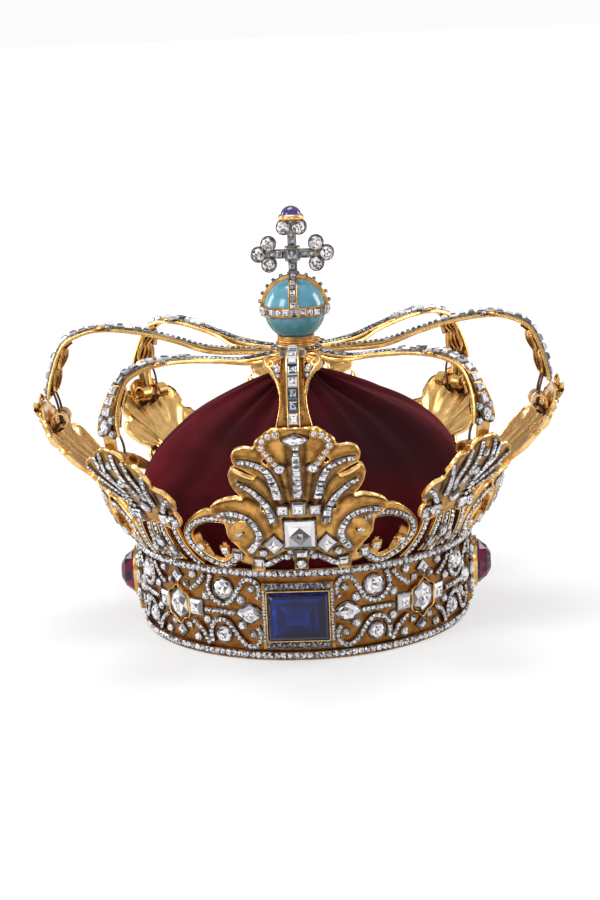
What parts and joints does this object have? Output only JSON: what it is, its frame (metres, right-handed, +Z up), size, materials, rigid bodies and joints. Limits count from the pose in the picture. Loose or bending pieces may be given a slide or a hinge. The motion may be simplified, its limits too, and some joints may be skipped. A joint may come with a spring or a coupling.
{
  "type": "arched crown",
  "caption": "Closed crown: a jewelled gold circlet with tall leaf palmettes, bowed arches that meet under an orb and cross, and a velvet cap inside.",
  "frame": {"origin": "centre of the circlet's foot, on the surface the crown stands on", "axes": "+Z up through the orb and cross, -Y towards the front, +X towards the wearer's left"},
  "size_m": [0.2844, 0.2708, 0.2243],
  "materials": {
    "gold": "brushed yellow gold",
    "diamond": "cut clear stone",
    "sapphire": "cut blue stone",
    "garnet": "cut dark red stone",
    "enamel": "glossy turquoise enamel",
    "velvet": "crimson velvet"
  },
  "bodies": {
    "root": {"circlet": "gold", "hub": "gold", "orb_frame": "gold", "cross": "gold", "cap": "velvet", "orb": "enamel", "cross_stones": "diamond", "finial_stone": "sapphire", "sapphire_front": "sapphire", "sapphire_back": "sapphire", "garnet_left": "garnet", "garnet_right": "garnet", "palmette_front": "gold", "arch_front": "gold", "crest_stones_front": "diamond", "field_stones_front": "diamond", "palmette_front_right": "gold", "arch_front_right": "gold", "crest_stones_front_right": "diamond", "field_stones_front_right": "diamond", "palmette_right": "gold", "arch_right": "gold", "crest_stones_right": "diamond", "field_stones_right": "diamond", "palmette_back_right": "gold", "arch_back_right": "gold", "crest_stones_back_right": "diamond", "field_stones_back_right": "diamond", "palmette_back": "gold", "arch_back": "gold", "crest_stones_back": "diamond", "field_stones_back": "diamond", "palmette_back_left": "gold", "arch_back_left": "gold", "crest_stones_back_left": "diamond", "field_stones_back_left": "diamond", "palmette_left": "gold", "arch_left": "gold", "crest_stones_left": "diamond", "field_stones_left": "diamond", "palmette_front_left": "gold", "arch_front_left": "gold", "crest_stones_front_left": "diamond", "field_stones_front_left": "diamond", "rosette_stones_front_right": "diamond", "rosette_stones_back_right": "diamond", "rosette_stones_back_left": "diamond", "rosette_stones_front_left": "diamond"}
  },
  "joints": []
}
